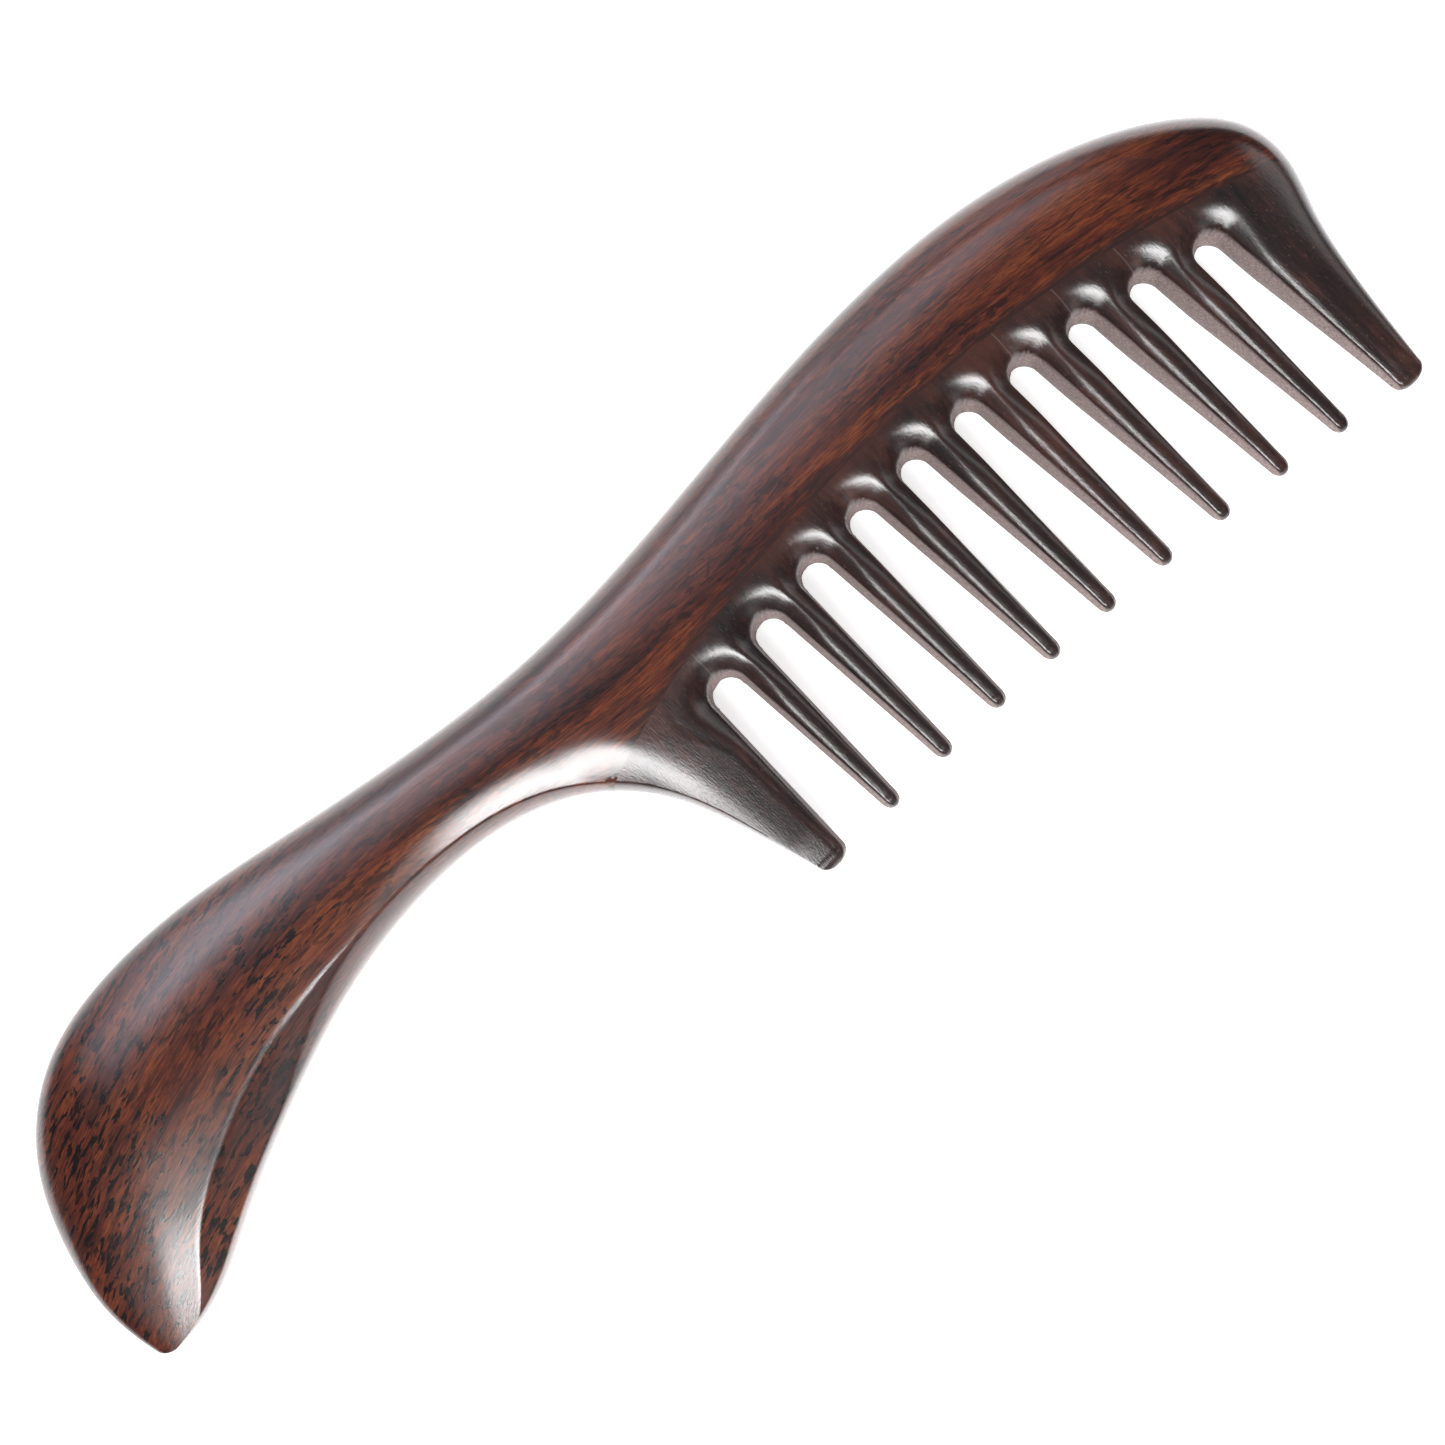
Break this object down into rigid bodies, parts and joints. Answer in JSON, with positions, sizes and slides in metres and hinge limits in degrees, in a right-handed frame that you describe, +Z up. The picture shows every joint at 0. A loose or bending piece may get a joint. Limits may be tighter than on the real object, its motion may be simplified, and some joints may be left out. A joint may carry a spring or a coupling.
{
  "type": "wide tooth comb",
  "caption": "Wooden wide tooth comb with a broad curved handle, a reddish spine and darker rounded teeth glued in with their grain across it.",
  "frame": {"origin": "centre of the bounding box, on the surface that the comb lies on", "axes": "+X along the comb from the handle to the head, +Y from the tooth tips to the back, +Z up through the thickness, square to the faces"},
  "size_m": [0.1882, 0.05, 0.0124],
  "materials": {
    "red_brown_wood": "satin",
    "dark_wood": "satin"
  },
  "bodies": {
    "root": {"spine_and_handle": "red_brown_wood", "first_end_tooth": "dark_wood", "slender_tooth_1": "dark_wood", "slender_tooth_2": "dark_wood", "slender_tooth_3": "dark_wood", "slender_tooth_4": "dark_wood", "slender_tooth_5": "dark_wood", "slender_tooth_6": "dark_wood", "slender_tooth_7": "dark_wood", "slender_tooth_8": "dark_wood", "slender_tooth_9": "dark_wood", "last_end_tooth": "dark_wood"}
  },
  "joints": []
}
